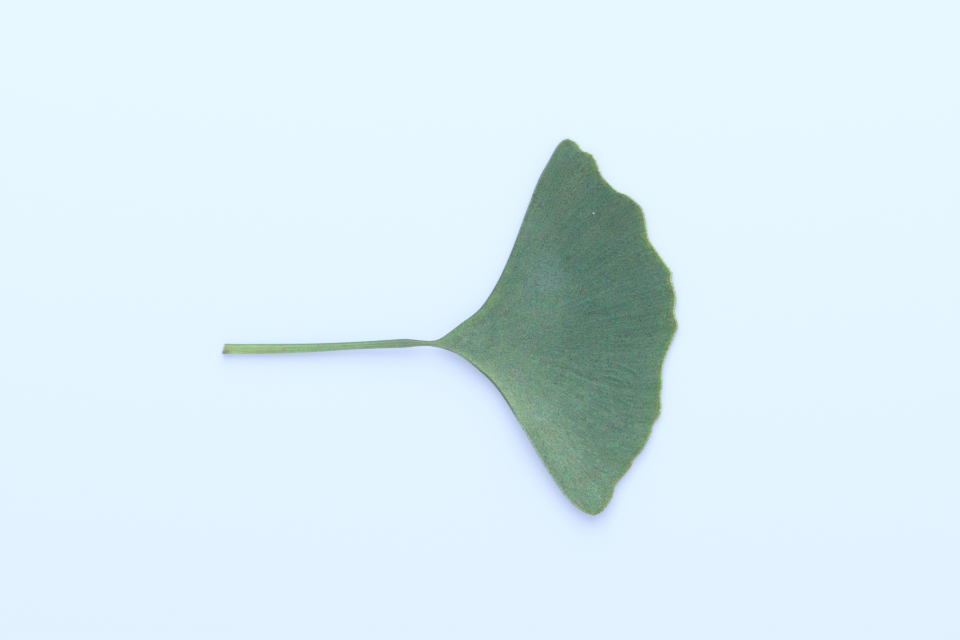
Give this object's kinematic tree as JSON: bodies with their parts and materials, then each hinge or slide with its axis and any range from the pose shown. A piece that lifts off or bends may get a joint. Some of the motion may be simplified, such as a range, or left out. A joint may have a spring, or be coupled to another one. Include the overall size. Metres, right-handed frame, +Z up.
{
  "type": "ginkgo leaf",
  "caption": "Fan-shaped ginkgo leaf with a waved outer margin and a long stalk, as picked, lying face up.",
  "frame": {"origin": "on the surface the leaf lies on, under the middle of the leaf's own box", "axes": "+X from the stalk's cut end to the blade's outer margin, +Y across the blade, +Z up, out of the leaf's upper face"},
  "size_m": [0.082, 0.0678, 0.0033],
  "materials": {
    "leaf_green": "matte"
  },
  "bodies": {
    "root": {"ginkgo_leaf": "leaf_green"}
  },
  "joints": []
}
